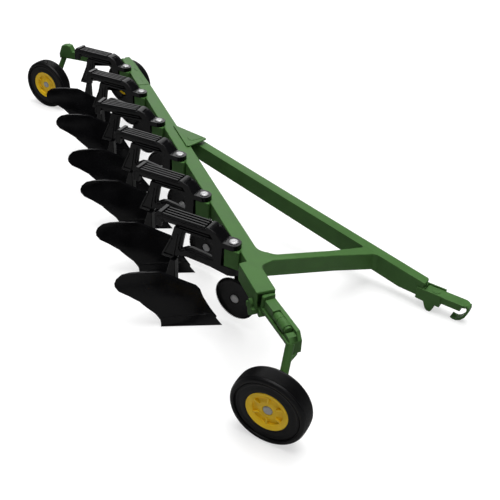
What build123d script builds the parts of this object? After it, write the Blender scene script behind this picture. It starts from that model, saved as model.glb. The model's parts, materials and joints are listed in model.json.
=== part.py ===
"""Toy six-furrow semi-mounted mouldboard plough, about 1:16, in millimetres.

+X is the way it travels, +Y its land side and +Z up. The floor is z = 0 and the
origin is on the floor, in the middle of the plough's box.
"""
from build123d import *
import math
import os

# ---- driving dimensions -------------------------------------------------
bottom_count = 6
bottom_pitch = 55.1            # along the beam, rivet to rivet
bottom_turns = (0, 0, 8, 0, 0, 0)      # how far each bottom is turned on its rivet, degrees, from the rear
beam_angle = -41.9             # beam's direction in plan, from the travel direction
first_rivet_x = -111.1
first_rivet_y = 107.7
beam_top = 53.2
beam_depth = 11.2
beam_width = 9.9
beam_near_side = 2.3           # from the rivets' line to the beam's furrow side
beam_rear_end = -31.6          # along the beam, from the first rivet
cover_end = 34.0
cover_far_taper = 1.0          # how far the cover's land side draws in towards the rear
front_overhang = 43.1          # from the last rivet to the beam's front end
front_step = 28.1              # length of the beam's front part, which stands further out
front_step_out = 4.8
front_width = 10.9
gusset_thickness = 1.0
gusset_corner = 1.6
front_pocket = 5.0             # hollow of the beam's front end: length, top and wall
front_pocket_top = 1.8
front_pocket_wall = 1.1

tongue_along = 128.5           # point on the drawbar's land-side top edge, in the beam's measure
tongue_out = 18.2
tongue_angle = -9.7
tongue_length = 200.3
tongue_end_top = 18.2
tongue_width = 7.1
tongue_depth = 10.4            # at its root, over the length of which it deepens
tongue_front_depth = 13.3
tongue_front_neck = 14.8       # length of the end that draws in again
tongue_end_depth = 10.8
tongue_run_back = 25.0         # behind that point, to pass under the beam's face

brace_back = 26.1              # from the beam's front end
brace_along_tongue = 160.0
brace_rise = 1.6               # its sloping top's height over the beam's top at the beam's face
brace_width = 5.4
brace_end_width = 8.4
brace_flare = 34.0             # length over which it widens, up to the drawbar
brace_depth = 10.2
brace_end_depth = 11.4
brace_beam_fillets = (8.5, 4.5)        # rear, front
brace_tongue_fillets = (2.0, 4.0)

tyre_radius = 21.0
tyre_width = 11.3
tyre_bead_depth = 0.9          # from the tyre's side to its edge at the rim
rim_radius = 11.6
rim_width = 10.0
rim_lip = 0.7
rim_slope = 2.7                # width of the sloping ring inside the lip
rim_slope_depth = 1.6
rim_groove = 1.0
rim_recess = 2.6
rim_rib_count = 6
rim_rib_width = 1.2
hub_radius = 4.4
axle_radius = 1.6
axle_head_radius = 2.6
axle_head_height = 0.9
axle_head_inset = 1.6          # how far the rivet's seat lies inside the rim's face
running_gap = 0.05             # radial clearance of a shaft in its hole

boss_gap = 0.9                 # from the rim to the spindle's boss
boss_radius = 3.2
boss_length = 8.0
spindle_radius = 2.3

standard_width = 9.2
rivet_radius = 1.4
rivet_head_radius = 2.7
rivet_head_height = 0.9
rivet_foot = 0.4               # end of the frame rivet over the lower lug's underside
bracket_side = 4.2
bracket_rear = -3.8
bracket_front = 5.6

mouldboard_thickness = 1.3
mouldboard_reach = 60.0        # how far the level lines run before the outline trims them
shin_offset = -7.1             # shin's plane, from the rivet, towards the furrow
disc_radius = 13.9
disc_thickness = 1.4
disc_toe = -6.5                # disc's turn about the upright, degrees
disc_x = 3.1
disc_y = -1.6
disc_z = 18.8
disc_seat_radius = 3.4         # shallow seat of the rivet's head
disc_seat_depth = 0.3
shank_eye_radius = 4.4
disc_shank_width = 4.8
disc_shank_near = 1.6          # from the disc's middle plane to the shank's faces
disc_shank_far = 4.4

arm_yaw = 4.4                  # front arm's turn from the beam's direction
arm_start = 3.8                # arm's middle at the beam's end, from the rivets' line
arm_floor_drop = 9.0          # arm floor's depth under the beam's top
arm_length = 32.5
arm_width = 8.1
arm_plate = 2.0
front_wheel_x = 2.1            # wheel's centre from the top of its spindle
front_wheel_y = -23.0

rear_arm_across = 5.4          # rear arm's root, from the rivets' line
rear_arm_angle = 187.7
rear_arm_length = 64.1
rear_arm_width = 6.0
rear_wheel_x = -8.1
rear_wheel_y = -15.7

land_lug_length = 5.5
land_lug_width = 4.0
land_wheel_x = -9.1
land_wheel_y = 12.9

hitch_yaw = -7.0
hitch_shift = 0.5              # hitch's middle from the drawbar's, towards the land
hitch_width = 9.6
hitch_cheek = 0.9
hitch_bar_top = 13.2
hitch_bar_depth = 4.8
hitch_bar_length = 28.5
hook_width = 5.6

box_middle_x = -0.17           # middle of the plough's box, in the layout's own measure
box_middle_y = 2.94

# ---- outline of the gusset, in the beam's measure: along from the first rivet, out to the land side ----
gusset_outline = [(116.0, 9.2), (117.0, 11.3), (142.9, 26.4), (150.2, 11.8), (150.2, 9.2)]

# ---- outlines, from the bottom's rivet: x, height over the beam's top --------
standard_head = [
    (-38.8, -3.7), (-36.6, 3.8), (-46.0, 3.8), (-46.0, 0.2), (-49.0, 1.3), (-49.0, 7.1), (-46.5, 8.3),
    (-15.5, 8.3), (-15.5, 10.2), (-13.6, 10.2), (-9.5, 8.5), (-4.8, 3.4), (0.0, 3.4), (0.0, 0.0),
    (-4.8, 0.0), (-5.4, -11.1), (-5.4, -12.0), (0.0, -12.0), (0.0, -17.4), (-12.3, -15.6),
    (-28.3, -14.6), (-34.0, -15.7),
]
standard_window = [
    (-32.4, -10.4), (-30.2, 0.6), (-28.8, 1.6), (-14.5, 1.6), (-11.8, -1.0), (-11.8, -9.2), (-16.0, -8.5),
    (-25.2, -7.4), (-28.6, -8.0),
]
standard_web_cut = [(-45.0, 3.8), (-45.0, 6.0), (-13.0, 6.0), (-11.4, 3.8)]
standard_slope_cut = [(-11.4, 10.2), (-11.4, 8.7), (-9.8, 8.0), (-5.2, 3.0), (-4.0, 3.4), (-8.6, 9.6)]
standard_web_depth = 1.5
standard_plate = 3.0            # thickness of the frame around the window
standard_column = -9.4         # behind it the frame is thin, before it as wide as the lugs
standard_bar_bottom = 2.2      # underside of the top bar, which is wide
standard_recess = 0.7          # step around the window: depth, width
standard_recess_width = 1.5
standard_slope_rail = 1.4
lug_thickness = 3.4
lower_lug_drop = 12.0
lower_lug_thickness = 5.4
spring_base_outline = [(-45.5, 8.3), (-45.5, 9.1), (-15.5, 9.1), (-15.5, 8.3)]
spring_rib_outline = [(-45.0, 9.1), (-45.0, 10.2), (-16.4, 10.2), (-16.4, 9.1)]
spring_band_outline = [
    (-45.0, 9.1), (-45.0, 10.9), (-47.4, 10.9), (-49.9, 8.4), (-49.9, 0.4), (-49.0, 0.4),
    (-49.0, 7.1), (-46.5, 8.3), (-45.5, 8.3), (-45.5, 9.1),
]
spring_rib_width = 1.2
spring_rib_pitch = 2.4
spring_rib_count = 4

# x, height over the floor
standard_foot = [(-35.9, 34.0), (-46.0, 34.0), (-45.6, 35.6)]
frog_outline = [
    (-38.0, 35.2), (-35.0, 35.2), (-35.0, 20.0), (-20.0, 16.0), (-14.6, 12.5), (-10.0, 6.5), (-5.0, 1.5),
    (-34.0, 1.5), (-40.0, 12.0), (-43.4, 17.0),
]
frog_far_side = -3.0

# height, x of the working face at the shin's plane, angle of the level line
mouldboard_lines = [
    (0.3, -1.9, 33), (6.5, -8.8, 38), (12.5, -13.1, 43), (21.5, -17.5, 47), (30, -21.5, 48), (40, -22.5, 47),
]
mouldboard_outline = [
    (-1.9, 0.3), (-17.5, 21.5), (-30.1, 30.2), (-36.8, 35.4), (-43.6, 37.1), (-48.4, 37.8), (-51.5, 37.3),
    (-53.0, 35.6), (-53.5, 33.2), (-53.0, 31.0), (-51.0, 28.0), (-46.6, 24.3), (-42.1, 19.7), (-38.8, 14.4),
    (-35.6, 9.6), (-33.2, 4.6), (-32.4, 0.3),
]

# ---- outlines of the wheels --------------------------------------------------
# how far inside the tread, depth from the tyre's side
tyre_side = [
    (5.1, 1.1), (4.6, 0.8), (3.8, 0.8), (3.1, 1.2), (2.9, 0.2), (2.4, 0.0), (1.4, 0.0), (0.5, 1.0), (0.0, 2.6),
]
# radius, depth from the rim's face
hub_outline = [(3.2, 0.9), (4.4, 1.2), (5.6, 2.2)]

# ---- outlines of the wheel arms and the hitch --------------------------------
arm_wall_outline = [(0.0, -2.0), (0.0, 4.3), (29.5, 4.3), (32.5, 0.0), (32.5, -2.0)]
arm_wall_thickness = 2.4
arm_head_outline = [(0.0, -2.0), (0.0, 6.7), (1.7, 6.7), (1.9, 2.0), (3.2, 1.0), (3.2, -2.0)]
arm_flange_outline = [
    (-3.3, 6.2), (-2.9, 6.7), (-1.6, 6.7), (-1.6, 5.2), (-2.5, 0.0), (-2.5, -2.0), (-4.0, -2.0),
]
arm_flange_length = 2.2
arm_root_near = 1.6            # arm's root in the beam's hollow end, from the rivets' line
arm_root_gap = 0.4
arm_knuckle_outline = [(26.5, 0.0), (32.5, 0.0), (32.5, -7.6), (30.5, -8.8), (28.0, -7.4), (26.5, -3.4)]
arm_toe_outline = [(25.5, 0.0), (25.5, 1.0), (27.5, 2.6), (30.5, 2.2), (32.5, 0.0)]
cylinder_start = 3.2
cylinder_block_length = 9.5
cylinder_block_width = 4.6
cylinder_block_height = 5.6
cylinder_centre = 2.4
# start and end of each part of the barrel along the arm, radius
cylinder_parts = [(12.2, 13.4, 2.2), (13.4, 17.6, 2.7), (17.6, 18.2, 2.3), (18.2, 24.8, 2.9), (24.8, 26.2, 2.2)]
spindle_in_arm = (31.0, -1.8, -1.0)    # front spindle's top, in the arm's measure

# x along the arm, height over the beam's top
rear_arm_root_outline = [(-6.0, -10.2), (-6.0, -3.5)]
# back from the arm's end, height over the beam's top
rear_arm_end_outline = [
    (13.5, -3.5), (11.0, 1.4), (8.0, 2.0), (3.0, 0.8), (0.0, -6.7), (0.0, -10.7), (4.0, -10.2),
]
rear_spindle_back = 3.4        # spindle's top, from the arm's end
land_lug_top = -2.7
land_lug_bottom = -9.6

# x from the beam's front end, height over the beam's underside
hinge_ear_outline = [
    (-6.6, -5.2), (-6.6, 2.6), (-5.4, 4.2), (-3.6, 4.2), (-2.4, 2.6), (-2.4, -5.2), (-4.5, -6.8),
]
hinge_ear_thickness = 2.1
hinge_plate_drop = 3.2
hinge_plate_length = 9.0
hinge_pin_radius = 2.2
hinge_pin_ahead = 0.8

# x from the drawbar's end, height over the floor
hitch_block_outline = [(-4.5, 6.2), (-4.5, 14.2), (11.6, 14.2), (11.6, 5.8), (8.4, 5.8), (7.4, 1.5), (6.5, 0.0),
                       (4.5, 0.0), (3.0, 1.2), (1.0, 5.8)]
hitch_foot_width = 5.0
hitch_foot_top = 5.8
hitch_bar_start = 0.3
hook_outline = [
    (24.3, 11.4), (24.3, 12.6), (28.9, 12.6), (29.3, 10.5), (28.9, 7.5), (27.6, 4.2), (25.4, 1.4), (22.8, 0.1),
    (20.2, 0.2), (18.9, 0.9), (19.3, 1.9), (20.8, 1.4), (22.7, 1.4), (24.6, 2.6), (26.3, 5.0), (27.5, 8.0),
    (27.7, 10.4), (27.3, 11.4),
]
hook_throat = 24.3             # end of the bar's full depth
hook_lip = 1.8                 # thickness of its top plate beyond
hitch_ring_x = 6.8
hitch_ring_radius = 2.6
hitch_ring_height = 0.4

os.makedirs("parts", exist_ok=True)

beam_front_end = (bottom_count - 1) * bottom_pitch + front_overhang
beam_bottom = beam_top - beam_depth
lug_top = beam_top + lug_thickness
lower_lug_top = beam_top - lower_lug_drop
lower_lug_bottom = lower_lug_top - lower_lug_thickness
beam_far_side = beam_near_side + beam_width
front_near_side = beam_near_side - front_step_out
front_far_side = front_near_side + front_width
far_off = 500.0                # reach of the cutting blocks, beyond the whole plough


def write(name, shape):
    """Saves a piece, moved so that the origin is in the middle of the plough's box."""
    export_step(Pos(-box_middle_x, -box_middle_y, 0) * shape, f"parts/{name}.step")


def block(x0, x1, y0, y1, z0, z1):
    """Box between two corners."""
    centre = ((x0 + x1) / 2, (y0 + y1) / 2, (z0 + z1) / 2)
    return Pos(*centre) * Box(x1 - x0, y1 - y0, z1 - z0)


def rod(start, end, radius):
    """Round bar from one point to another."""
    a = Vector(*start)
    b = Vector(*end)
    plane = Plane(origin=a, z_dir=b - a)
    return extrude(plane * Circle(radius), (b - a).length)


def side_plate(points, y0, y1):
    """Profile in x and z, as thick as from y0 to y1."""
    face = Plane.XZ.offset(-y0) * make_face(Polyline(*points, close=True))
    return extrude(face, -(y1 - y0))


def over_beam(points):
    """Outline whose heights are given over the beam's top, in heights over the floor."""
    return [(x, beam_top + rise) for x, rise in points]


def level_plate(points, z0, z1):
    """Profile in x and y, as thick as from z0 to z1."""
    return Pos(0, 0, z0) * extrude(make_face(Polyline(*points, close=True)), z1 - z0)


beam_place = Pos(first_rivet_x, first_rivet_y, 0) * Rot(0, 0, beam_angle)
land_of_beam = beam_place * block(-far_off, far_off, beam_far_side, far_off, -far_off, far_off)


def rivet_place(k):
    """Rivet k's place, 1 at the rear."""
    along = (k - 1) * bottom_pitch
    turn = math.radians(beam_angle)
    return Pos(first_rivet_x + along * math.cos(turn), first_rivet_y + along * math.sin(turn), 0)


# ---- beam -----------------------------------------------------------------
def main_beam():
    step = beam_front_end - front_step
    outline = [
        (cover_end, beam_near_side), (step, beam_near_side), (step + 0.6, front_near_side),
        (beam_front_end, front_near_side), (beam_front_end, front_far_side),
        (beam_front_end - brace_back, front_far_side), (beam_front_end - brace_back, beam_far_side),
        (cover_end, beam_far_side),
    ]
    beam = level_plate(outline, beam_bottom, beam_top)
    beam -= block(beam_front_end - front_pocket, far_off, front_near_side + front_pocket_wall,
                  front_far_side - front_pocket_wall, 0, beam_top - front_pocket_top)
    return beam_place * beam


def rear_cover():
    far = beam_far_side - cover_far_taper
    plan = level_plate([(beam_rear_end, beam_near_side), (cover_end, beam_near_side), (cover_end, beam_far_side),
                        (beam_rear_end + 14, far), (beam_rear_end + 5, far - 1.0), (beam_rear_end, far - 1.4)],
                       beam_bottom, beam_top)
    side = side_plate([(beam_rear_end, beam_bottom), (beam_rear_end, beam_top - 2.7),
                       (beam_rear_end + 3.6, beam_top), (cover_end, beam_top), (cover_end, beam_bottom)],
                      -far_off, far_off)
    return beam_place * (plan & side)


# ---- drawbar ----------------------------------------------------------------
tongue_root = (beam_place * Pos(tongue_along, tongue_out, beam_top)).position
tongue_drop = math.degrees(math.asin((beam_top - tongue_end_top) / tongue_length))
tongue_place = Pos(*tongue_root) * Rot(0, 0, tongue_angle) * Rot(0, tongue_drop, 0)
tongue_end = (tongue_place * Pos(tongue_length, -tongue_width / 2, 0)).position


def tongue():
    outline = [(-tongue_run_back, 0), (tongue_length, 0), (tongue_length, -tongue_end_depth),
               (tongue_length - tongue_front_neck, -tongue_front_depth), (-tongue_run_back, -tongue_depth)]
    bar = side_plate(outline, -tongue_width, 0)
    bar -= Pos(tongue_length, 0, 0) * Rot(0, 0, 45) * Box(1.6, 1.6, far_off)
    under_top = block(-far_off, far_off, -far_off, far_off, 0, beam_top)
    return (tongue_place * bar) & land_of_beam & under_top


def cross_brace():
    """Bar that widens towards the drawbar, filleted into it and into the beam, its top in line with theirs."""
    a = (beam_place * Pos(beam_front_end - brace_back, beam_far_side, beam_top + brace_rise)).position
    b = (tongue_place * Pos(brace_along_tongue, -tongue_width, 0)).position
    turn = math.degrees(math.atan2(b.Y - a.Y, b.X - a.X))
    span = math.hypot(b.X - a.X, b.Y - a.Y)
    half = brace_width / 2
    end_half = brace_end_width / 2
    past = 2 * brace_width
    past_half = end_half + (end_half - half) * past / brace_flare
    side = [(-past, half), (span - brace_flare, half), (span + past, past_half)]
    other_side = [(x, -y) for x, y in reversed(side)]
    meets = beam_front_end - brace_back
    rear_beam = beam_place * Pos(meets - far_off / 2, beam_far_side / 2) * Rectangle(far_off, beam_far_side)
    front_beam = beam_place * Pos(meets + far_off / 2, front_far_side / 2) * Rectangle(far_off, front_far_side)
    drawbar = Rectangle(2 * brace_flare, brace_flare)
    drawbar = Pos(b.X, b.Y) * Rot(0, 0, tongue_angle) * Pos(0, brace_flare / 2) * drawbar
    plan = Pos(a.X, a.Y) * Rot(0, 0, turn) * make_face(Polyline(*side, *other_side, close=True))
    plan = plan + rear_beam + front_beam + drawbar
    lean = math.radians(turn - beam_angle)
    on_beam = half / math.sin(lean)
    step = (front_far_side - beam_far_side) / math.tan(lean)
    on_tongue = end_half / math.sin(math.radians(turn - tongue_angle))
    corners = [
        (beam_place * Pos(meets - on_beam, beam_far_side), brace_beam_fillets[0]),
        (beam_place * Pos(meets + on_beam + step, front_far_side), brace_beam_fillets[1]),
        (tongue_place * Pos(brace_along_tongue - on_tongue, -tongue_width), brace_tongue_fillets[0]),
        (tongue_place * Pos(brace_along_tongue + on_tongue, -tongue_width), brace_tongue_fillets[1]),
    ]
    for corner, radius in corners:
        plan = fillet(plan.vertices().sort_by_distance(corner.position)[0], radius)
    plan -= rear_beam
    plan -= front_beam
    plan -= drawbar
    along_tongue = (tongue_place * Pos(1, 0, 0)).position - tongue_root
    top = Plane(origin=a, x_dir=b - a, z_dir=along_tongue.cross(b - a))
    slab = side_plate([(-far_off, 0), (far_off, 0), (far_off, -brace_end_depth),
                       ((b - a).length, -brace_end_depth), (0, -brace_depth), (-far_off, -brace_depth)],
                      -far_off, far_off)
    return extrude(plan, beam_top) & (top.location * slab)


def tongue_gusset():
    """Thin plate over the corner between the beam and the drawbar."""
    plan = make_face(Polyline(*gusset_outline, close=True))
    tip = plan.vertices().sort_by(Axis.Y)[-1]
    plan = fillet(tip, gusset_corner)
    return beam_place * Pos(0, 0, beam_top) * extrude(plan, gusset_thickness)


# ---- bottoms ------------------------------------------------------------------
def bracket():
    pad = block(bracket_rear, bracket_front, -bracket_side, far_off, lower_lug_top, beam_top)
    beam_and_beyond = Rot(0, 0, beam_angle) * block(-far_off, far_off, beam_near_side, far_off, 0, far_off)
    pad -= beam_and_beyond
    pad -= Cylinder(rivet_radius + running_gap, far_off)
    return pad


def standard():
    half = standard_width / 2
    web = half - standard_web_depth
    rail = half - standard_slope_rail
    body = side_plate(over_beam(standard_head) + standard_foot, -half, half)
    body -= block(-far_off, standard_column, -half + standard_plate, far_off, 0, beam_top + standard_bar_bottom)
    window = side_plate(over_beam(standard_window), -far_off, far_off)
    body -= window
    near_skin = block(-far_off, 0, -far_off, -half + standard_recess, 0, far_off)
    body -= offset(window, standard_recess_width) & near_skin
    body -= side_plate(over_beam(standard_web_cut), -far_off, -web)
    body -= side_plate(over_beam(standard_web_cut), web, far_off)
    body -= side_plate(over_beam(standard_slope_cut), -rail, rail)
    body += Pos(0, 0, beam_top) * extrude(Circle(half), lug_top - beam_top)
    body += Pos(0, 0, lower_lug_bottom) * extrude(Circle(half), lower_lug_top - lower_lug_bottom)
    body += side_plate(frog_outline, shin_offset, frog_far_side)
    shank = block(-disc_shank_width / 2, disc_shank_width / 2, disc_shank_near, disc_shank_far,
                  -shank_eye_radius, lower_lug_bottom - disc_z + 1)
    shank -= Rot(90, 0, 0) * Cylinder(rivet_radius, far_off)
    body += disc_place * shank
    bore = Pos(0, 0, lower_lug_bottom + rivet_foot) * extrude(Circle(rivet_radius + running_gap), far_off)
    return body - bore


def spring_bar():
    """Ribbed leaf along the standard's top, turned down over its rear end."""
    half = standard_width / 2
    bar = side_plate(over_beam(spring_base_outline), -half, half)
    bar += side_plate(over_beam(spring_band_outline), -half, half)
    for k in range(spring_rib_count):
        middle = (k - (spring_rib_count - 1) / 2) * spring_rib_pitch
        bar += side_plate(over_beam(spring_rib_outline), middle - spring_rib_width / 2,
                          middle + spring_rib_width / 2)
    return bar


def mouldboard():
    """Working plate, lofted through level lines that turn and lay back with height."""
    sections = []
    for height, front, angle in mouldboard_lines:
        turn = math.radians(angle)
        end_x = front - mouldboard_reach * math.cos(turn)
        end_y = -mouldboard_reach * math.sin(turn)
        back = mouldboard_thickness / math.sin(turn)
        line = Polyline((front, 0), (end_x, end_y), (end_x - back, end_y), (front - back, 0), close=True)
        sections.append(Plane.XY.offset(height) * make_face(line))
    plate = loft(sections)
    trim = side_plate(mouldboard_outline, -far_off, far_off)
    return Pos(0, shin_offset, 0) * (plate & trim)


disc_place = Pos(disc_x, disc_y, disc_z) * Rot(0, 0, disc_toe)


def coulter():
    disc = Cylinder(disc_radius, disc_thickness) - Cylinder(rivet_radius + running_gap, far_off)
    disc -= Pos(0, 0, disc_thickness / 2) * Cylinder(disc_seat_radius, 2 * disc_seat_depth)
    return disc_place * Rot(90, 0, 0) * disc


def frame_rivet():
    foot = lower_lug_bottom + rivet_foot
    shank = Pos(0, 0, foot) * extrude(Circle(rivet_radius), lug_top - foot)
    head = Pos(0, 0, lug_top) * extrude(Circle(rivet_head_radius), rivet_head_height)
    return shank + head


def coulter_rivet():
    seat = -(disc_thickness / 2 - disc_seat_depth + running_gap)
    head = rod((0, seat, 0), (0, seat - rivet_head_height, 0), rivet_head_radius)
    shank = rod((0, seat, 0), (0, disc_shank_far, 0), rivet_radius)
    return disc_place * (head + shank)


# ---- wheels -------------------------------------------------------------------
def tyre():
    """Ring with a proud shoulder and a sunk sidewall, worn round at the tread's edges."""
    half = tyre_width / 2
    side = [(rim_radius, tyre_bead_depth)]
    side += [(tyre_radius - inside, depth) for inside, depth in tyre_side]
    ring = [(radius, depth - half) for radius, depth in side]
    ring += [(radius, half - depth) for radius, depth in reversed(side)]
    return revolve(make_face(Polyline(*ring, close=True)), Axis.Y)


def rim():
    """Dished disc: a lip, a sloping ring, a groove crossed by short ribs, and a domed hub."""
    half = rim_width / 2
    bore = axle_radius + running_gap
    lip = rim_radius - rim_lip
    bowl = lip - rim_slope
    dish = [(bowl - rim_groove, rim_recess), (bowl, rim_recess), (bowl, rim_slope_depth), (lip, 0),
            (rim_radius, 0)]
    outer = [(bore, axle_head_inset), (hub_outline[0][0], axle_head_inset)] + hub_outline + dish
    inner = [(bore, 0), (hub_radius, 0), hub_outline[-1]] + dish
    profile = [(radius, depth - half) for radius, depth in outer]
    profile += [(radius, half - depth) for radius, depth in reversed(inner)]
    body = revolve(make_face(Polyline(*profile, close=True)), Axis.Y)
    rib = block(-rim_rib_width / 2, rim_rib_width / 2, rim_slope_depth - half, rim_recess + rim_lip - half,
                hub_radius, bowl + rim_lip)
    for k in range(rim_rib_count):
        body += Rot(0, k * 360 / rim_rib_count, 0) * rib
    return body


def wheel_rivet():
    """Axle through the rim into the spindle's boss, its head in the rim's bowl."""
    seat = -rim_width / 2 + axle_head_inset
    shank = rod((0, seat - running_gap, 0), (0, rim_width / 2 + boss_gap, 0), axle_radius)
    return shank + rod((0, seat - running_gap, 0), (0, seat - axle_head_height, 0), axle_head_radius)


def spindle(top):
    """Boss behind the wheel and the round leg that comes down to it, in the wheel's own measure."""
    near = rim_width / 2 + boss_gap
    boss = rod((0, near, 0), (0, near + boss_length, 0), boss_radius)
    return boss + rod((top.X, top.Y, top.Z), (0, near + boss_length / 2, 0), spindle_radius)


# ---- front wheel's arm --------------------------------------------------------
front_arm_place = beam_place * Pos(beam_front_end, arm_start, beam_top - arm_floor_drop) * Rot(0, 0, arm_yaw)


def front_collar():
    """Hinge under the beam's front end: a plate, an ear on the furrow side and the pin's barrel."""
    near = front_near_side - hinge_ear_thickness
    far = front_far_side - 1.5
    hinge = side_plate(hinge_ear_outline, near, front_near_side)
    hinge += block(-hinge_plate_length, 0, near, far, -hinge_plate_drop, 0)
    pin_z = -hinge_pin_radius
    hinge += rod((hinge_pin_ahead, near + 3.5, pin_z), (hinge_pin_ahead, far, pin_z), hinge_pin_radius)
    return beam_place * Pos(beam_front_end, 0, beam_bottom) * hinge


def front_arm():
    """Floor plate with a wall on the land side, an upright head at the beam and a knuckle at the end."""
    half = arm_width / 2
    arm = block(-arm_plate, arm_length, -half, half, -arm_plate, 0)
    arm += side_plate(arm_wall_outline, half - arm_wall_thickness, half)
    arm += side_plate(arm_head_outline, -half + 1.7, half)
    arm += extrude(Plane.YZ * make_face(Polyline(*arm_flange_outline, close=True)), arm_flange_length)
    arm += side_plate(arm_knuckle_outline, -half + 2.6, half)
    arm += side_plate(arm_toe_outline, -half + 1.0, half - arm_wall_thickness)
    ahead = beam_place * block(beam_front_end, far_off, -far_off, far_off, -far_off, far_off)
    floor = beam_top - arm_floor_drop
    root_far = front_far_side - front_pocket_wall - arm_root_gap
    root_top = beam_top - front_pocket_top - arm_root_gap
    root = block(beam_front_end - front_pocket, beam_front_end + 1, arm_root_near, root_far, floor, root_top)
    return ((front_arm_place * arm) & ahead) + beam_place * root - front_collar()


def front_cylinder():
    """Square block and stepped barrel that lie on the arm's floor."""
    middle = -(arm_wall_thickness - 1.2) / 2
    half = cylinder_block_width / 2
    body = block(cylinder_start, cylinder_start + cylinder_block_length, middle - half, middle + half,
                 0, cylinder_block_height)
    for start, end, radius in cylinder_parts:
        body += rod((start, middle, cylinder_centre), (end, middle, cylinder_centre), radius)
    return (front_arm_place * body) - front_arm()


# ---- rear wheels' arms --------------------------------------------------------
rear_arm_root = (beam_place * Pos(beam_rear_end, rear_arm_across, 0)).position
rear_arm_place = Pos(*rear_arm_root) * Rot(0, 0, rear_arm_angle)
land_lug_far = beam_far_side - cover_far_taper
land_lug_near = land_lug_far - land_lug_width


def rear_arm():
    """Level bar with a raised end, standing out behind the beam."""
    end = [(rear_arm_length - back, height) for back, height in rear_arm_end_outline]
    bar = side_plate(over_beam(rear_arm_root_outline + end), -rear_arm_width / 2, rear_arm_width / 2)
    behind = beam_place * block(-far_off, beam_rear_end, -far_off, far_off, 0, far_off)
    return (rear_arm_place * bar) & behind


def land_arm():
    """Lug on the beam's rear end, beside the other arm's root."""
    lug = block(beam_rear_end - land_lug_length, beam_rear_end, land_lug_near, land_lug_far,
                beam_top + land_lug_bottom, beam_top + land_lug_top)
    return (beam_place * lug) - rear_arm()


def wheel_place(spindle_top, x, y, facing):
    """The wheel's centre, from its spindle's top; the wheel's own -Y is its outer side."""
    return Pos(spindle_top.X + x, spindle_top.Y + y, tyre_radius) * Rot(0, 0, facing)


front_top = (front_arm_place * Pos(*spindle_in_arm)).position
rear_top = (rear_arm_place * Pos(rear_arm_length - rear_spindle_back, 0, beam_top + land_lug_bottom)).position
land_top = (beam_place * Pos(beam_rear_end - land_lug_length + 1.2, (land_lug_near + land_lug_far) / 2,
                             beam_top + land_lug_bottom + 1)).position

# ---- hitch ----------------------------------------------------------------------
hitch_place = Pos(tongue_end.X, tongue_end.Y + hitch_shift, 0) * Rot(0, 0, hitch_yaw)
hitch_bar_width = hitch_width - 2 * hitch_cheek
hitch_bar_bottom = hitch_bar_top - hitch_bar_depth


def hitch_head():
    """Channel that grips the drawbar's end, with a foot under its furrow side."""
    half = hitch_width / 2
    head = side_plate(hitch_block_outline, -half, half)
    head -= block(0, far_off, -hitch_bar_width / 2, hitch_bar_width / 2, hitch_bar_bottom, far_off)
    head -= block(-far_off, far_off, -half + hitch_foot_width, far_off, -far_off, hitch_foot_top)
    return (hitch_place * head) - tongue()


def hitch_hook():
    """Thick bar that ends in a thin round lip, and a strap that curls down and back from the lip."""
    half = hitch_bar_width / 2
    lip_end = hitch_bar_length - half
    bar = block(hitch_bar_start, lip_end, -half, half, 0, hitch_bar_depth)
    bar += Pos(lip_end, 0, 0) * extrude(Circle(half), hitch_bar_depth)
    bar -= block(hook_throat, far_off, -far_off, far_off, 0, hitch_bar_depth - hook_lip)
    bar -= Pos(hitch_ring_x, 0, 0) * extrude(Circle(rivet_radius + running_gap), far_off)
    bar = Pos(0, 0, hitch_bar_bottom) * bar
    return hitch_place * (bar + side_plate(hook_outline, -hook_width / 2, hook_width / 2))


def hitch_pin():
    """Rivet with a dished head."""
    shank = extrude(Circle(rivet_radius), hitch_bar_depth + hitch_ring_height)
    head = extrude(Circle(hitch_ring_radius), hitch_ring_height) - Pos(0, 0, hitch_ring_height / 2) * extrude(
        Circle(hitch_ring_radius - 0.8), hitch_ring_height)
    return hitch_place * Pos(hitch_ring_x, 0, hitch_bar_bottom) * (shank + Pos(0, 0, hitch_bar_depth) * head)


# ---- assembly -------------------------------------------------------------------
write("main_beam", main_beam())
write("rear_cover", rear_cover())
write("tongue", tongue())
write("cross_brace", cross_brace())
write("tongue_gusset", tongue_gusset())

frame_rivets = []
coulter_rivets = []
for k in range(1, bottom_count + 1):
    place = rivet_place(k)
    write(f"bracket_{k}", place * bracket())
    place *= Rot(0, 0, bottom_turns[k - 1])
    write(f"standard_{k}", place * standard())
    write(f"spring_bar_{k}", place * spring_bar())
    write(f"mouldboard_{k}", place * mouldboard())
    write(f"coulter_{k}", place * coulter())
    frame_rivets.append(place * frame_rivet())
    coulter_rivets.append(place * coulter_rivet())
write("frame_rivets", Part() + frame_rivets)
write("coulter_rivets", Part() + coulter_rivets)

# name, spindle's top, wheel's x and y from it, turn about the upright, arm
wheels = [
    ("front", front_top, front_wheel_x, front_wheel_y, 0, front_arm()),
    ("rear", rear_top, rear_wheel_x, rear_wheel_y, 0, rear_arm()),
    ("land", land_top, land_wheel_x, land_wheel_y, 180, land_arm()),
]
for name, top, x, y, facing, arm in wheels:
    place = wheel_place(top, x, y, facing)
    top_from_wheel = (place.inverse() * Pos(*top)).position
    write(f"{name}_tyre", place * tyre())
    write(f"{name}_rim", place * rim())
    write(f"{name}_axle", place * wheel_rivet())
    write(f"{name}_arm", arm)
    write(f"{name}_spindle", (place * spindle(top_from_wheel)) - arm)

write("front_collar", front_collar())
write("front_cylinder", front_cylinder())
write("hitch_head", hitch_head())
write("hitch_hook", hitch_hook())
write("hitch_pin", hitch_pin())
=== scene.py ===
import json
import math

import bmesh
import bpy
from mathutils import Matrix, Vector
from mathutils.bvhtree import BVHTree


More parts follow.
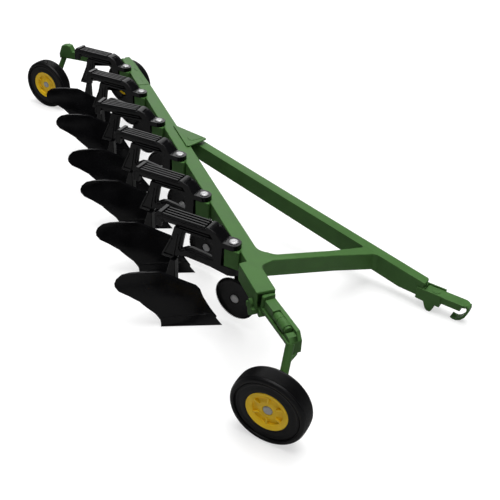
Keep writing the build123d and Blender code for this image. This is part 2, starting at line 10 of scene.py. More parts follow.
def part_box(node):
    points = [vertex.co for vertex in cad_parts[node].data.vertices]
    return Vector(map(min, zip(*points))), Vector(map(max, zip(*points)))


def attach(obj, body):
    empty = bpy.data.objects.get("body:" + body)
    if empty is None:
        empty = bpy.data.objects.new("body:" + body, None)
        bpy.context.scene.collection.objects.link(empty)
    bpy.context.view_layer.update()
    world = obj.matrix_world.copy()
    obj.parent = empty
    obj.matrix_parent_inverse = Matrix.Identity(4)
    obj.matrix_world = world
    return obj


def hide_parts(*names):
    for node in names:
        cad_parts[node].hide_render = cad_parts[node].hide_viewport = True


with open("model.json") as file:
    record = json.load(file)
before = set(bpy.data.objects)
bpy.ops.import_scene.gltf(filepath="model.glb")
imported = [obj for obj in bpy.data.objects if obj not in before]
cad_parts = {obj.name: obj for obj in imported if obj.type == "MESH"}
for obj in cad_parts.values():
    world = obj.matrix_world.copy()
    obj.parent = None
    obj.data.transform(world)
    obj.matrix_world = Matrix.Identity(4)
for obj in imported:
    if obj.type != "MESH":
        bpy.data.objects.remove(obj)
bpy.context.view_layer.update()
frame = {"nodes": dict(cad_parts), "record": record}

# Toy mouldboard plough. The three spindles keep their CAD meshes, and every other CAD node is replaced by a
# dressed piece. Blender's lengths are metres. Outlines and tables are in millimetres, which MM turns into
# metres where they are used.
MM = 0.001
BOTTOMS = range(1, 7)

BODY_OF = {node: body for body, nodes in frame["record"]["behaviour"]["bodies"].items() for node in nodes}
SLOT_OF = {row["node"]: row["material_slot"] for row in frame["record"]["subparts"]}
JOINT_OF = {joint["child"]: joint for joint in frame["record"]["behaviour"]["joints"]}


# ---- materials --------------------------------------------------------------
CLOUD_DETAIL = 3.0
GRAIN_DETAIL = 2.0
# how much the roughness varies either way
ROUGH_VARY = 0.06
# the stretch of the cloud's range over which the colour and the gloss change
COLOUR_STRETCH = (0.35, 0.65)
GLOSS_STRETCH = (0.3, 0.7)


def add(nodes, kind, **settings):
    """New shader node with the settings given."""
    node = nodes.new(kind)
    for key, value in settings.items():
        setattr(node, key, value)
    return node


def noise(nodes, links, place, scale, detail):
    """Noise laid out in metres from the frame's origin, so that it keeps its scale on every piece."""
    made = add(nodes, "ShaderNodeTexNoise")
    made.inputs["Scale"].default_value = scale
    made.inputs["Detail"].default_value = detail
    links.new(place.outputs["Object"], made.inputs["Vector"])
    return made


def finish_material(name, colour, roughness, vary, vary_scale=90.0, bump=0.3, bump_scale=900.0,
                    bump_depth=0.08 * MM, **sockets):
    """Shader with slight variation of colour and gloss and a fine surface grain."""
    made = bpy.data.materials.new(name)
    made.use_nodes = True
    nodes, links = made.node_tree.nodes, made.node_tree.links
    shader = nodes["Principled BSDF"]
    for key, value in sockets.items():
        shader.inputs[key.replace("_", " ")].default_value = value
    place = add(nodes, "ShaderNodeTexCoord")
    cloud = noise(nodes, links, place, vary_scale, CLOUD_DETAIL)
    ramp = add(nodes, "ShaderNodeValToRGB")
    low = tuple(c * (1 - vary) for c in colour)
    high = tuple(min(1.0, c * (1 + vary)) for c in colour)
    for stop, position, shade in zip(ramp.color_ramp.elements, COLOUR_STRETCH, (low, high)):
        stop.position = position
        stop.color = (*shade, 1)
    links.new(cloud.outputs["Fac"], ramp.inputs["Fac"])
    links.new(ramp.outputs["Color"], shader.inputs["Base Color"])
    gloss = add(nodes, "ShaderNodeMapRange")
    gloss.inputs["From Min"].default_value, gloss.inputs["From Max"].default_value = GLOSS_STRETCH
    gloss.inputs["To Min"].default_value = roughness - ROUGH_VARY
    gloss.inputs["To Max"].default_value = roughness + ROUGH_VARY
    links.new(cloud.outputs["Fac"], gloss.inputs["Value"])
    links.new(gloss.outputs["Result"], shader.inputs["Roughness"])
    grain = noise(nodes, links, place, bump_scale, GRAIN_DETAIL)
    relief = add(nodes, "ShaderNodeBump")
    relief.inputs["Strength"].default_value = bump
    relief.inputs["Distance"].default_value = bump_depth
    links.new(grain.outputs["Fac"], relief.inputs["Height"])
    links.new(relief.outputs["Normal"], shader.inputs["Normal"])
    return made


MATERIALS = {
    "green": finish_material("green_enamel", (0.053, 0.126, 0.035), 0.4, vary=0.06, bump_scale=260.0,
                             bump_depth=0.1 * MM, Specular_IOR_Level=0.08),
    "black": finish_material("black_plastic", (0.003, 0.003, 0.0035), 0.22, vary=0.15, bump_scale=500.0,
                             bump_depth=0.05 * MM, Specular_IOR_Level=0.15),
    "yellow": finish_material("yellow_plastic", (0.9, 0.58, 0.015), 0.4, vary=0.05, bump=0.25,
                              bump_scale=700.0, Specular_IOR_Level=0.3),
    "rivet": finish_material("bright_rivet", (0.4, 0.4, 0.405), 0.5, vary=0.05, vary_scale=700.0, bump=0.5,
                             bump_depth=0.1 * MM, Metallic=0.6),
    "tyre": finish_material("tyre_rubber", (0.004, 0.004, 0.0045), 0.4, vary=0.12, bump=0.4,
                            bump_scale=1200.0, Specular_IOR_Level=0.14),
}


# ---- mesh helpers -----------------------------------------------------------
# corners nearer than this are one: in a CAD mesh, in a joined mesh and in a turned mesh
WELD_CAD = 1e-6
WELD_JOINED = 8e-5
WELD_TURNED = 1e-7
# faces that bend less than this are one flat face
FLAT_ANGLE = math.radians(0.8)
# edges that bend between these two are rounded: less is nearly flat, more is feather-thin
ROUND_FROM = math.radians(32.0)
ROUND_TO = math.radians(140.0)
# how full the rounding is, from 0, hollow, over 0.5, round, to 1, square
ROUND_SHAPE = 0.55
# how much wider than the cut a face has to be beside an edge
ROOM_SHARE = 1.1
# shapes this near touch, and faces rest on each other where their normals are this far opposed
TOUCH = 2e-6
OPPOSED = -0.99
# a face is a top or bottom where its normal's z is over this, either way
LEVEL = 0.5
# how far shapes are pushed into each other before they are joined
OVERLAP = 0.5 * MM
# how much a large face counts over a small one in the shading
LARGE_FACE_WEIGHT = 100


def new_piece(name, bm, body, slot, replaced=(), sharp=35.0):
    """Object from a bmesh, smooth apart from edges that bend more than `sharp` degrees, riding on a body."""
    mesh = bpy.data.meshes.new(name)
    for face in bm.faces:
        face.smooth = True
    bm.to_mesh(mesh)
    bm.free()
    mesh.set_sharp_from_angle(angle=math.radians(sharp))
    piece = bpy.data.objects.new(name, mesh)
    bpy.context.scene.collection.objects.link(piece)
    mesh.materials.append(MATERIALS[slot])
    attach(piece, body)
    if replaced:
        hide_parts(*replaced)
    return piece


def flatten(piece):
    """Keeps the shading of large faces flat beside their rounded edges."""
    weigh = piece.modifiers.new("flat_faces", "WEIGHTED_NORMAL")
    weigh.weight = LARGE_FACE_WEIGHT
    weigh.keep_sharp = True


def make_whole(bm, weld):
    """Welds near corners and joins the triangles of each flat face."""
    bmesh.ops.remove_doubles(bm, verts=bm.verts, dist=weld)
    bmesh.ops.dissolve_limit(bm, angle_limit=FLAT_ANGLE, verts=bm.verts, edges=bm.edges)


def node_mesh(name):
    """The CAD node's mesh as a bmesh with its flat faces whole."""
    bm = bmesh.new()
    bm.from_mesh(frame["nodes"][name].data)
    make_whole(bm, WELD_CAD)
    return bm


def has_room(edge, width):
    """Whether both faces beside an edge are wide enough at its middle to be cut back by a width."""
    centre = (edge.verts[0].co + edge.verts[1].co) / 2
    for loop in edge.link_loops:
        along = (loop.link_loop_next.vert.co - loop.vert.co).normalized()
        inward = loop.face.normal.cross(along)
        if not bmesh.geometry.intersect_face_point(loop.face, centre + inward * width * ROOM_SHARE):
            return False
    return True


def round_edges(bm, width, segments, above=-math.inf, wary=False):
    """Rounds the edges that lie above a height. If wary, it leaves those whose faces have no room for it."""
    edges = [e for e in bm.edges if len(e.link_faces) == 2 and ROUND_FROM < e.calc_face_angle() < ROUND_TO
             and min(vert.co.z for vert in e.verts) > above and (not wary or has_room(e, width))]
    bmesh.ops.bevel(bm, geom=edges, offset=width, segments=segments, profile=ROUND_SHAPE, affect="EDGES",
                    clamp_overlap=False)


def soften(name, width, segments):
    """The CAD node's shape with its edges rounded."""
    bm = node_mesh(name)
    round_edges(bm, width, segments, wary=True)
    flatten(new_piece(f"{name}_cast", bm, BODY_OF[name], SLOT_OF[name], [name]))


def sink(bm, tree, depth):
    """Pushes the faces that rest against another shape into it, each corner along its top or bottom face."""
    moves, resting = {}, set()
    for face in bm.faces:
        hits = [tree.find_nearest(vert.co) for vert in face.verts]
        close = [hit for hit in hits if hit[3] < TOUCH]
        if len(close) >= 3 and tree.find_nearest(face.calc_center_bounds())[1].dot(face.normal) < OPPOSED:
            resting.add(face)
            for vert in face.verts:
                moves.setdefault(vert, []).append(face.normal.copy())
    planes = {}
    for vert in moves:
        level = [face.normal.copy() for face in vert.link_faces
                 if face not in resting and abs(face.normal.z) > LEVEL]
        if level:
            planes[vert] = (vert.co.copy(), level[0])
    for vert, normals in moves.items():
        for normal in normals:
            vert.co += normal * depth
        if vert in planes:
            start, normal = planes[vert]
            vert.co.z -= (vert.co - start).dot(normal) / normal.z


def merged(names):
    """The CAD nodes' shapes joined into one closed shape, as a bmesh with its flat faces whole."""
    whole = [node_mesh(name) for name in names]
    trees = [BVHTree.FromBMesh(bm) for bm in whole]
    parts = []
    for k, (name, bm) in enumerate(zip(names, whole)):
        for tree in trees[:k]:
            sink(bm, tree, OVERLAP)
        mesh = bpy.data.meshes.new(f"{name}_whole")
        bm.to_mesh(mesh)
        bm.free()
        part = bpy.data.objects.new(f"{name}_whole", mesh)
        bpy.context.scene.collection.objects.link(part)
        parts.append(part)
    for part in parts[1:]:
        union = parts[0].modifiers.new("union", "BOOLEAN")
        union.operation = "UNION"
        union.solver = "EXACT"
        union.object = part
    seen = parts[0].evaluated_get(bpy.context.evaluated_depsgraph_get())
    bm = bmesh.new()
    bm.from_mesh(seen.to_mesh())
    seen.to_mesh_clear()
    for part in parts:
        bpy.data.objects.remove(part)
    make_whole(bm, WELD_JOINED)
    return bm


def bridge(bm, rings, closed=True):
    """Faces between each ring of corners and the next, all the way round."""
    count = len(rings[0])
    last = count if closed else count - 1
    for k, ring in enumerate(rings):
        other = rings[(k + 1) % len(rings)]
        for j in range(last):
            n = (j + 1) % count
            bm.faces.new((ring[j], other[j], other[n], ring[n]))


def lathe(bm, profile, place, steps, closed=True):
    """Surface turned about the place's Y axis from (radius, y) points."""
    rings = []
    for k in range(steps):
        turn = 2 * math.pi * k / steps
        c, s = math.cos(turn), math.sin(turn)
        rings.append([bm.verts.new(place @ Vector((r * c, y, r * s))) for r, y in profile])
    bridge(bm, rings, closed)
    bmesh.ops.remove_doubles(bm, verts=bm.verts, dist=WELD_TURNED)
    bmesh.ops.recalc_face_normals(bm, faces=bm.faces)


def join(bm, part):
    """Moves a part's mesh into a larger one."""
    mesh = bpy.data.meshes.new("part")
    part.to_mesh(mesh)
    part.free()
    bm.from_mesh(mesh)
    bpy.data.meshes.remove(mesh)


def add_box(bm, low, high, place, round_by):
    """Box between two corners in the place's own measure, its edges rounded."""
    part = bmesh.new()
    bmesh.ops.create_cube(part, size=1.0)
    size = Vector(high) - Vector(low)
    centre = (Vector(high) + Vector(low)) / 2
    for vert in part.verts:
        vert.co = Vector((vert.co.x * size.x, vert.co.y * size.y, vert.co.z * size.z)) + centre
    bmesh.ops.bevel(part, geom=part.edges[:], offset=round_by, segments=2, profile=0.5, affect="EDGES")
    part.transform(place)
    join(bm, part)


def joint_place(body, facing=1):
    """Place on the body's hinge whose -Y is the way its outer face looks."""
    joint = JOINT_OF[body]
    y = Vector(joint["axis"]) * facing
    z = Vector((0, 0, 1))
    turn = Matrix((y.cross(z), y, z)).transposed().to_4x4()
    return Matrix.Translation(joint["pos_m"]) @ turn


# ---- rivets -----------------------------------------------------------------
# shares of the head's radius and height, from its seat over its rim and crown to the shallow dimple
DOME = [(0.0, 0.0), (1.0, 0.0), (1.0, 0.35), (0.93, 0.62), (0.78, 0.86), (0.55, 1.0), (0.36, 1.0),
        (0.22, 0.84), (0.0, 0.78)]
HEAD_STEPS = 32
SHANK_STEPS = 24
# radius and height of a head, then radius and length of its shank
AXLE_RIVET = ((2.6 * MM, 0.85 * MM), (1.6 * MM, 9.3 * MM))
COULTER_RIVET = ((2.7 * MM, 0.9 * MM), (1.4 * MM, 4.85 * MM))
# the frame's rivets are as long as their CAD solids
FRAME_RIVET_HEAD = (2.7 * MM, 0.9 * MM)
FRAME_RIVET_SHANK = 1.4 * MM


def rivet_heads(name, seats, head, shank, replaced):
    """Peened heads with their shanks, on the frame. Each seat is a place whose -Y is the way a head faces."""
    radius, height = head
    dome = [(across * radius, -up * height) for across, up in DOME]
    thickness, reach = shank
    pin = [(0.0, 0.0), (thickness, 0.0), (thickness, reach), (0.0, reach)]
    bm = bmesh.new()
    for seat in seats:
        part = bmesh.new()
        lathe(part, dome, seat, HEAD_STEPS, closed=False)
        lathe(part, pin, seat, SHANK_STEPS, closed=False)
        join(bm, part)
    new_piece(name, bm, "frame", "rivet", replaced)


# ---- wheels -----------------------------------------------------------------
WHEEL_STEPS = 96
TYRE_RADIUS = 21.0 * MM
TYRE_HALF = 5.65 * MM
# how far inside the tread, depth from the tyre's side
TYRE_SIDE = [(9.4, 0.9), (9.0, 0.72), (8.2, 0.66), (6.6, 0.8), (5.3, 1.1), (4.9, 0.9), (4.6, 0.78),
             (4.0, 0.78), (3.6, 0.95), (3.35, 1.22), (3.05, 1.2), (2.92, 0.35), (2.75, 0.1), (2.4, 0.0),
             (1.7, 0.0), (1.15, 0.2), (0.75, 0.6), (0.42, 1.15), (0.25, 1.6)]
TREAD_GROOVES = 14
# from the tyre's side to its first groove, and how much lower than its middle the tread's edges are
TREAD_EDGE = 1.9 * MM
TREAD_FALL = 0.2 * MM
GROOVE_DEPTH = 0.3 * MM
LAST_GROOVE_DEPTH = 0.4 * MM
# shares of the way from one groove to the next at which the top of a running rib starts and ends
RIB_TOP = (0.3, 0.7)

RIM_HALF = 5.0 * MM
# radius, depth from the rim's outer face
HUB = [(1.65, 1.6), (2.75, 1.6), (2.8, 1.3), (3.0, 1.15), (4.6, 1.25), (5.4, 1.5), (6.2, 2.0)]
DISH = [(7.4, 2.1), (8.15, 2.1), (8.3, 1.95), (8.45, 1.0), (8.65, 0.8), (10.8, 0.1), (11.0, 0.0),
        (11.45, 0.0), (11.6, 0.15)]
# the same on the rim's inner face
BACK_HUB = [(1.65, 0.0), (4.2, 0.0), (4.4, 0.2), (5.6, 2.2)]
RIM_RIBS = 6
RIM_RIB_HALF = 0.55 * MM
RIM_RIB_DEPTHS = (0.6 * MM, 3.0 * MM)
RIM_RIB_RADII = (5.2 * MM, 8.8 * MM)
RIM_RIB_ROUND = 0.2 * MM
# from the rim's outer face in to the seat of the axle's head
AXLE_HEAD_DEPTH = 1.55 * MM


def tyre_profile():
    """Closed section: bead, sunk sidewall with a fine ring, proud shoulder and fine running ribs."""
    side = [(TYRE_RADIUS - inside * MM, -TYRE_HALF + depth * MM) for inside, depth in TYRE_SIDE]
    tread = []
    first = -TYRE_HALF + TREAD_EDGE
    pitch = -2 * first / TREAD_GROOVES
    for k in range(TREAD_GROOVES):
        y = first + k * pitch
        crown = TYRE_RADIUS - TREAD_FALL * (abs(y + pitch / 2) / -first) ** 2
        tread.append((crown - GROOVE_DEPTH, y))
        tread += [(crown, y + share * pitch) for share in RIB_TOP]
    tread.append((TYRE_RADIUS - LAST_GROOVE_DEPTH, -first))
    other = [(radius, -y) for radius, y in reversed(side)]
    return side + tread + other


def rim_profile():
    """Closed section: hub and dish of the outer face, then those of the inner face."""
    outer = [(radius * MM, -RIM_HALF + depth * MM) for radius, depth in HUB + DISH]
    inner = [(radius * MM, RIM_HALF - depth * MM) for radius, depth in reversed(BACK_HUB + DISH)]
    return outer + inner


def build_wheel(name, facing):
    """Ribbed tyre, dished rim with its ribs, and the peened end of the axle."""
    body = BODY_OF[f"{name}_tyre"]
    place = joint_place(body, facing)
    bm = bmesh.new()
    lathe(bm, tyre_profile(), place, WHEEL_STEPS)
    new_piece(f"{name}_tyre_rubber", bm, body, "tyre", [f"{name}_tyre"], sharp=50.0)
    bm = bmesh.new()
    lathe(bm, rim_profile(), place, WHEEL_STEPS)
    near, far = [-RIM_HALF + depth for depth in RIM_RIB_DEPTHS]
    inner, outer = RIM_RIB_RADII
    for k in range(RIM_RIBS):
        turn = Matrix.Rotation(2 * math.pi * k / RIM_RIBS, 4, "Y")
        add_box(bm, (-RIM_RIB_HALF, near, inner), (RIM_RIB_HALF, far, outer), place @ turn, RIM_RIB_ROUND)
    new_piece(f"{name}_rim_disc", bm, body, "yellow", [f"{name}_rim"])
    seat = place @ Matrix.Translation((0, -RIM_HALF + AXLE_HEAD_DEPTH, 0))
    rivet_heads(f"{name}_axle_rivet", [seat], *AXLE_RIVET, [f"{name}_axle"])


for wheel, facing in (("front", 1), ("rear", 1), ("land", -1)):
    build_wheel(wheel, facing)


# ---- coulters ---------------------------------------------------------------
NOTCHES = 72
# a notch and the tooth beside it take this many steps of the disc's turn, half of them each
STEPS_PER_NOTCH = 4
# radius, y: shallow seat at the middle, outer end of the flat face, the rim at a tooth and at a notch, and
# the inner end of the back
COULTER_SEAT = [(1.45, -0.42), (3.3, -0.42), (3.4, -0.45), (3.45, -0.66), (3.6, -0.7)]
COULTER_FACE = [(12.3, -0.7)]
COULTER_RIM = [(12.4, -0.68), (13.85, -0.6)]
COULTER_NOTCH = [(12.4, -0.2), (13.55, -0.1)]
COULTER_BACK = [(1.45, 0.7)]
# y of the seat of the rivet's head
COULTER_HEAD_SEAT = -0.45 * MM


def build_coulter(k):
    """Flat disc with a shallow seat at its middle and short notches all round its rim."""
    body = BODY_OF[f"coulter_{k}"]
    place = joint_place(body)
    bm = bmesh.new()
    rings = []
    steps = STEPS_PER_NOTCH * NOTCHES
    for step in range(steps):
        turn = 2 * math.pi * step / steps
        c, s = math.cos(turn), math.sin(turn)
        rim = COULTER_NOTCH if step % STEPS_PER_NOTCH < STEPS_PER_NOTCH / 2 else COULTER_RIM
        mirrored = [(radius, -y) for radius, y in reversed(COULTER_FACE + rim)]
        section = COULTER_SEAT + COULTER_FACE + rim + mirrored + COULTER_BACK
        rings.append([bm.verts.new(place @ Vector((r * MM * c, y * MM, r * MM * s))) for r, y in section])
    bridge(bm, rings)
    bmesh.ops.recalc_face_normals(bm, faces=bm.faces)
    new_piece(f"coulter_disc_plate_{k}", bm, body, "black", [f"coulter_{k}"], sharp=25.0)


for k in BOTTOMS:
    build_coulter(k)
seats = [joint_place(f"coulter_disc_{k}") @ Matrix.Translation((0, COULTER_HEAD_SEAT, 0)) for k in BOTTOMS]
rivet_heads("coulter_rivet_heads", seats, *COULTER_RIVET, ["coulter_rivets"])


# ---- rivets on the beam -----------------------------------------------------
UPWARD = Matrix.Rotation(math.radians(-90), 4, "X")


def islands(name):
    """Lowest and highest corner of each separate solid in a CAD node, the rearmost first."""
    bm = node_mesh(name)
    left = set(bm.verts)
    boxes = []
    while left:
        found, queue = [], [left.pop()]
        while queue:
            vert = queue.pop()
            found.append(vert.co.copy())
            for edge in vert.link_edges:
                other = edge.other_vert(vert)
                if other in left:
                    left.remove(other)
                    queue.append(other)
        low = Vector([min(co[a] for co in found) for a in range(3)])
        high = Vector([max(co[a] for co in found) for a in range(3)])
        boxes.append((low, high))
    bm.free()
    return sorted(boxes, key=lambda box: box[0].x)


rivets = islands("frame_rivets")
rivet_head_height = FRAME_RIVET_HEAD[1]
rivet_length = rivets[0][1].z - rivets[0][0].z - rivet_head_height
seats = []
for low, high in rivets:
    centre = ((low.x + high.x) / 2, (low.y + high.y) / 2, high.z - rivet_head_height)
    seats.append(Matrix.Translation(centre) @ UPWARD)
rivet_heads("frame_rivet_heads", seats, FRAME_RIVET_HEAD, (FRAME_RIVET_SHANK, rivet_length), ["frame_rivets"])


# ---- raised lines and web on the frame --------------------------------------
# a line's points, along the beam from its rearmost rivet and towards the land, then its width and rise
GUSSET_LINES = [([(138.5, 13.5), (142.0, 14.0), (143.0, 16.5), (142.0, 20.0), (141.0, 23.5)], 0.55, 0.2)]
COVER_LINES = [
    ([(2.5, 2.5), (33.0, 2.5)], 0.9, 0.3),
    ([(34.0, 2.5), (34.0, 11.5)], 0.6, 0.25),
    ([(-3.5, 7.5), (1.0, 8.0), (4.0, 9.0)], 0.55, 0.2),
    ([(16.0, 8.5), (22.5, 7.5), (27.0, 8.0)], 0.55, 0.2),
]
# how deep a line reaches into what carries it
LINE_ROOT = 0.6 * MM
LINE_ROUND = 0.12 * MM
# web under the front arm's knuckle: its outline from the forward furrow-side corner of the arm's box, and the
# levels of its foot and top over the box's foot
ARM_WEB = [(-4.0, 2.8), (-1.5, 5.4), (-2.1, -1.4), (-3.4, -0.8)]
ARM_WEB_LEVELS = (-0.8, 1.3)
ARM_WEB_ROUND = 0.25 * MM


def beam_measure(level):
    """Place on the rearmost rivet's axis at a level, its X along the beam and its Y towards the land."""
    rear, front = [(low + high) / 2 for low, high in (rivets[0], rivets[-1])]
    turn = math.atan2(front.y - rear.y, front.x - rear.x)
    return Matrix.Translation((rear.x, rear.y, level)) @ Matrix.Rotation(turn, 4, "Z")


def raised_lines(name, carrier, lines):
    """Low ridges with rounded edges on the top of a CAD node."""
    bm = bmesh.new()
    place = beam_measure(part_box(carrier)[1][2])
    for points, width, rise in lines:
        half = width / 2 * MM
        for (x0, y0), (x1, y1) in zip(points, points[1:]):
            length = math.hypot(x1 - x0, y1 - y0)
            turn = Matrix.Rotation(math.atan2(y1 - y0, x1 - x0), 4, "Z")
            at = place @ Matrix.Translation((x0 * MM, y0 * MM, 0)) @ turn
            add_box(bm, (-half, -half, -LINE_ROOT), (length * MM + half, half, rise * MM), at, LINE_ROUND)
    new_piece(name, bm, "frame", "green")


def arm_web():
    """Small web between the front arm's knuckle and its round spindle."""
    bm = bmesh.new()
    box_low, box_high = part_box("front_arm")
    corner = Vector((box_high[0], box_low[1], box_low[2]))
    low, high = ARM_WEB_LEVELS
    foot = bm.faces.new([bm.verts.new(corner + Vector((x, y, low)) * MM) for x, y in ARM_WEB])
    grown = bmesh.ops.extrude_face_region(bm, geom=[foot])
    for vert in grown["geom"]:
        if isinstance(vert, bmesh.types.BMVert):
            vert.co.z = corner.z + high * MM
    bmesh.ops.recalc_face_normals(bm, faces=bm.faces)
    round_edges(bm, ARM_WEB_ROUND, 2)
    new_piece("front_arm_web", bm, "frame", "green")


raised_lines("gusset_lines", "tongue_gusset", GUSSET_LINES)
raised_lines("rear_cover_lines", "rear_cover", COVER_LINES)
arm_web()


# ---- castings ---------------------------------------------------------------
BARS = ["main_beam", "tongue", "cross_brace"]
BAR_EDGE = 0.5 * MM
# node, width of its rounded edges in mm, segments
SOFT_EDGES = [
    ("rear_cover", 0.7, 3),
    ("tongue_gusset", 0.3, 2),
    ("front_collar", 0.35, 2),
    ("front_arm", 0.3, 2),
    ("front_cylinder", 0.25, 2),
    ("rear_arm", 0.5, 3),
    ("land_arm", 0.3, 2),
    ("hitch_head", 0.3, 2),
    ("hitch_hook", 0.35, 2),
    ("hitch_pin", 0.12, 2),
]

bm = merged(BARS)
round_edges(bm, BAR_EDGE, 2, wary=True)
flatten(new_piece("beam_and_drawbar", bm, "frame", "green", BARS))
for name, width, segments in SOFT_EDGES:
    soften(name, width * MM, segments)


# ---- bottoms ----------------------------------------------------------------
BOTTOM_EDGES = [("bracket", 0.35), ("spring_bar", 0.2)]
# where the coulter's hinge lies from the floor under the bottom's rivet, and its turn from the bottom's own
COULTER_IN_BOTTOM = (3.1 * MM, -1.6 * MM, 18.8 * MM)
COULTER_TOE = math.radians(-6.5)
# the frog's front lies forward of, to the furrow side of and below these in the bottom's own measure
FROG_REAR = -15.5 * MM
FROG_LAND_SIDE = -2.5 * MM
FROG_TOP = 14.0 * MM
FROG_KEPT_BACK = 2.8 * MM
STANDARD_EDGE = 0.35 * MM
# raised lines on the standard's near side: two ends (x, height over the floor), width, how far they stand out
STANDARD_LINES = [
    ((-33.0, 58.1), (-13.5, 58.1), 0.9, 0.0),
    ((-44.2, 36.4), (-38.4, 48.6), 0.9, 0.55),
    ((-37.4, 36.4), (-34.2, 52.5), 0.9, 0.45),
    ((-44.6, 36.0), (-36.6, 36.0), 1.0, 0.6),
    ((-30.5, 43.2), (-13.0, 41.7), 0.6, 0.25),
]
# y of the near side in the bottom's own measure, and how deep the lines reach into it
STANDARD_FACE = -4.6 * MM
STANDARD_LINE_ROOT = 1.7 * MM
STANDARD_LINE_ROUND = 0.15 * MM
# level of the share's top, and how far over it the edges stay sharp as they do on the share
SHARE_TOP = 6.5 * MM
SHARP_OVER_SHARE = 1.0 * MM
PLATE_EDGE = 0.2 * MM
SEAM_HALF = 0.22 * MM
SEAM_DEPTH = 0.3 * MM
# corners this near the seam's level are on it, and a cut makes no new corner this near an old one
ON_SEAM = 1e-6
CUT_WELD = 1e-7


def bottom_place(k):
    """Place on the floor under the rivet of bottom k, turned as the bottom is."""
    joint = JOINT_OF[f"coulter_disc_{k}"]
    turn = math.atan2(-joint["axis"][0], joint["axis"][1]) - COULTER_TOE
    hinge = Matrix.Translation(joint["pos_m"]) @ Matrix.Rotation(turn, 4, "Z")
    return hinge @ Matrix.Translation(-Vector(COULTER_IN_BOTTOM))


def build_standard(k):
    """Open casting with rounded edges, raised lines on its near side and its frog kept behind the shin."""
    name = f"standard_{k}"
    place = bottom_place(k)
    back = place.inverted()
    bm = node_mesh(name)
    shift = (place.to_3x3() @ Vector((1, 0, 0))) * -FROG_KEPT_BACK
    for vert in bm.verts:
        own = back @ vert.co
        if own.x > FROG_REAR and own.y < FROG_LAND_SIDE and own.z < FROG_TOP:
            vert.co += shift
    round_edges(bm, STANDARD_EDGE, 2)
    for (x0, z0), (x1, z1), width, proud in STANDARD_LINES:
        length = math.hypot(x1 - x0, z1 - z0)
        lean = Matrix.Rotation(-math.atan2(z1 - z0, x1 - x0), 4, "Y")
        at = place @ Matrix.Translation((x0 * MM, STANDARD_FACE, z0 * MM)) @ lean
        low = (0, -proud * MM, -width / 2 * MM)
        high = (length * MM, STANDARD_LINE_ROOT, width / 2 * MM)
        add_box(bm, low, high, at, STANDARD_LINE_ROUND)
    flatten(new_piece(f"{name}_cast", bm, "frame", "black", [name]))


def build_mouldboard(k):
    """Working plate with rounded edges and a fine seam between the share and the plate above."""
    name = f"mouldboard_{k}"
    bm = node_mesh(name)
    round_edges(bm, PLATE_EDGE, 2, above=SHARE_TOP + SHARP_OVER_SHARE)
    for height in (SHARE_TOP - SEAM_HALF, SHARE_TOP, SHARE_TOP + SEAM_HALF):
        bmesh.ops.bisect_plane(bm, geom=bm.verts[:] + bm.edges[:] + bm.faces[:], dist=CUT_WELD,
                               plane_co=(0, 0, height), plane_no=(0, 0, 1))
    bm.normal_update()
    for vert in bm.verts:
        if abs(vert.co.z - SHARE_TOP) < ON_SEAM:
            vert.co -= Vector((vert.normal.x, vert.normal.y, 0)) * SEAM_DEPTH
    new_piece(f"{name}_plate", bm, "frame", "black", [name], sharp=28.0)


for k in BOTTOMS:
    for part, width in BOTTOM_EDGES:
        soften(f"{part}_{k}", width * MM, 2)
    build_standard(k)
    build_mouldboard(k)

for name, node in frame["nodes"].items():
    node.data.materials.clear()
    node.data.materials.append(MATERIALS[SLOT_OF[name]])


# ---- floor, lights and camera -----------------------------------------------
FLOOR_SIZE = 20
FLOOR_COLOUR = (0.42, 0.42, 0.42, 1)
FLOOR_ROUGHNESS = 0.9
FLOOR_GLOW = 0.6
WHITE = (1, 1, 1, 1)
# strength of the world's light on the object, and of the white that the camera sees
WORLD_LIGHT = 0.05
WORLD_SEEN = 1.0
# name, place, target, size, power
LAMPS = [
    ("key", (0.15, 0.1, 1.5), (0, 0, 0), 1.3, 34),
    ("fill", (0.9, -1.0, 0.7), (0, 0, 0.03), 0.8, 1.5),
    ("back", (-0.75, 1.35, 1.0), (0, 0, 0), 1.1, 10),
]
CAMERA_PLACE = (0.25602, -0.38789, 0.2917)
CAMERA_TURN = (55.41, -2.45, 27.83)
CAMERA_LENS = 54.0


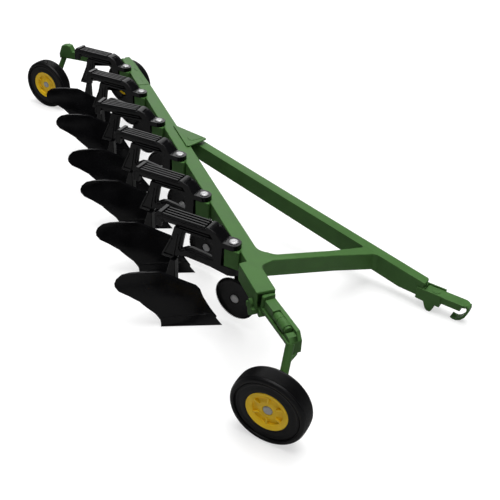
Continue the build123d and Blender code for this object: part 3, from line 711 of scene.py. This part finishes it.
def floor_material():
    """Pale floor that keeps the shadow, and is lifted to white for camera rays alone."""
    made = bpy.data.materials.new("floor_white")
    made.use_nodes = True
    nodes, links = made.node_tree.nodes, made.node_tree.links
    shader = nodes["Principled BSDF"]
    shader.inputs["Base Color"].default_value = FLOOR_COLOUR
    shader.inputs["Roughness"].default_value = FLOOR_ROUGHNESS
    ray = add(nodes, "ShaderNodeLightPath")
    glow = add(nodes, "ShaderNodeMath", operation="MULTIPLY")
    glow.inputs[1].default_value = FLOOR_GLOW
    links.new(ray.outputs["Is Camera Ray"], glow.inputs[0])
    shader.inputs["Emission Color"].default_value = WHITE
    links.new(glow.outputs["Value"], shader.inputs["Emission Strength"])
    return made


def add_floor():
    """Plain floor, which isn't part of the object."""
    bpy.ops.mesh.primitive_plane_add(size=FLOOR_SIZE)
    plane = bpy.context.object
    plane.name = "floor"
    plane.data.materials.append(floor_material())


def add_lamp(name, place, target, size, power):
    """Square soft light at a place, turned to its target."""
    data = bpy.data.lights.new(name, "AREA")
    data.size = size
    data.energy = power
    lamp = bpy.data.objects.new(name, data)
    bpy.context.scene.collection.objects.link(lamp)
    lamp.location = place
    lamp.rotation_euler = (Vector(target) - Vector(place)).to_track_quat("-Z", "Y").to_euler()


def add_camera():
    """Camera where the photograph was taken from."""
    data = bpy.data.cameras.new("camera")
    data.lens = CAMERA_LENS
    camera = bpy.data.objects.new("camera", data)
    bpy.context.scene.collection.objects.link(camera)
    camera.location = CAMERA_PLACE
    camera.rotation_euler = [math.radians(a) for a in CAMERA_TURN]
    bpy.context.scene.camera = camera


def add_world():
    """World that is white to the camera and gives the object only a faint light."""
    world = bpy.data.worlds.new("world")
    bpy.context.scene.world = world
    world.use_nodes = True
    nodes, links = world.node_tree.nodes, world.node_tree.links
    backdrop = nodes["Background"]
    backdrop.inputs["Color"].default_value = WHITE
    ray = add(nodes, "ShaderNodeLightPath")
    strength = add(nodes, "ShaderNodeMapRange")
    strength.inputs["To Min"].default_value = WORLD_LIGHT
    strength.inputs["To Max"].default_value = WORLD_SEEN
    links.new(ray.outputs["Is Camera Ray"], strength.inputs["Value"])
    links.new(strength.outputs["Result"], backdrop.inputs["Strength"])


add_floor()
for lamp in LAMPS:
    add_lamp(*lamp)
add_camera()
add_world()
bpy.context.scene.view_settings.view_transform = "Standard"
